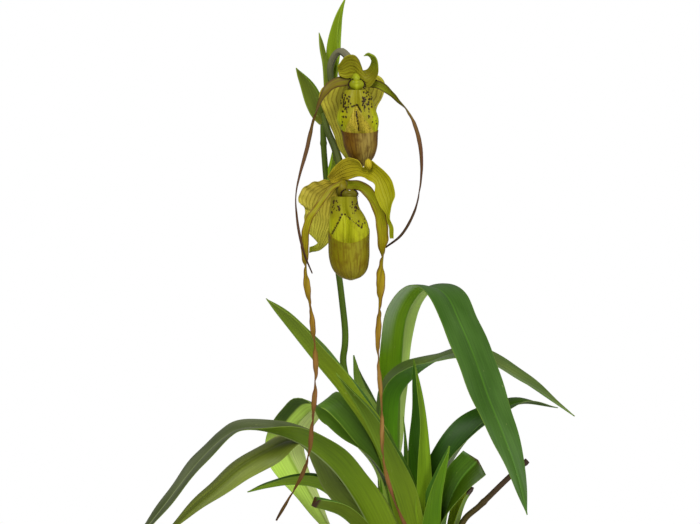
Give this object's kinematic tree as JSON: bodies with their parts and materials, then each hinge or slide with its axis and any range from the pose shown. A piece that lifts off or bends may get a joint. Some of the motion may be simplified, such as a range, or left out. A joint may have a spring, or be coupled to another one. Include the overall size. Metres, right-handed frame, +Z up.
{
  "type": "phragmipedium orchid",
  "caption": "Slipper orchid in a round pot: a fan of arching strap leaves and a flower stem with long-petalled pouch flowers.",
  "frame": {"origin": "middle of the pot's flat underside, on the surface it stands on", "axes": "+Z up along the plant's height, -Y the side that the flowers face, +X to the right seen from that side"},
  "size_m": [0.3172, 0.1697, 0.5102],
  "materials": {
    "pot": "moulded terracotta-coloured nursery pot, satin to matte",
    "bark_mix": "dry chipped fir bark, matte",
    "rhizome": "rhizome and roots, papery brown-green",
    "stem": "green flower stem, waxy with short fine hairs",
    "ovary": "grey-green to brown ovary and pedicel",
    "bract": "thin waxy bract, bright green",
    "sepal": "veined sepal, yellow-green, soft sheen",
    "petal": "twisted petal, green-yellow turning ochre and brown",
    "dark_petal": "petal, green at the base and dark brown beyond",
    "lip": "fleshy waxy slipper pouch, yellow-green with fine spots",
    "dark_lip": "fleshy waxy slipper pouch, green-brown with fine spots",
    "column": "fleshy column with a hairy shield",
    "old_spike": "dried flower spike, dark brown",
    "young_leaf": "young strap leaf, yellow-green, smooth and waxy",
    "leaf": "strap leaf, mid green, smooth and waxy",
    "old_leaf": "older strap leaf, blue-green above and paler beneath"
  },
  "bodies": {
    "root": {"pot": "pot", "rhizome": "rhizome", "potting_mix": "bark_mix", "flower_stem": "stem", "upper_pedicel": "ovary", "lower_pedicel": "ovary", "upper_column": "column", "upper_lip": "dark_lip", "upper_petal_left": "dark_petal", "upper_petal_right": "dark_petal", "upper_dorsal_sepal": "sepal", "upper_synsepal": "sepal", "lower_column": "column", "lower_lip": "lip", "lower_petal_left": "petal", "lower_petal_right": "petal", "lower_dorsal_sepal": "sepal", "lower_synsepal": "sepal", "bract_top": "bract", "bract_bud": "bract", "bract_left": "bract", "bract_right": "bract", "old_flower_spike": "old_spike", "leaf_right_big_arch": "old_leaf", "leaf_left_front": "leaf", "leaf_left_inner": "young_leaf", "leaf_left_upright": "young_leaf", "leaf_right_back_arch": "leaf", "leaf_left_back_arch": "old_leaf", "leaf_centre_upright": "young_leaf", "leaf_right_inner": "young_leaf", "leaf_left_low": "old_leaf", "leaf_right_arch": "leaf", "leaf_right_cut": "leaf", "leaf_back_short": "leaf", "leaf_left_cut": "leaf", "leaf_left_short": "leaf", "leaf_right_cut_low": "young_leaf", "leaf_small_left": "young_leaf", "leaf_small_centre": "young_leaf"}
  },
  "joints": []
}
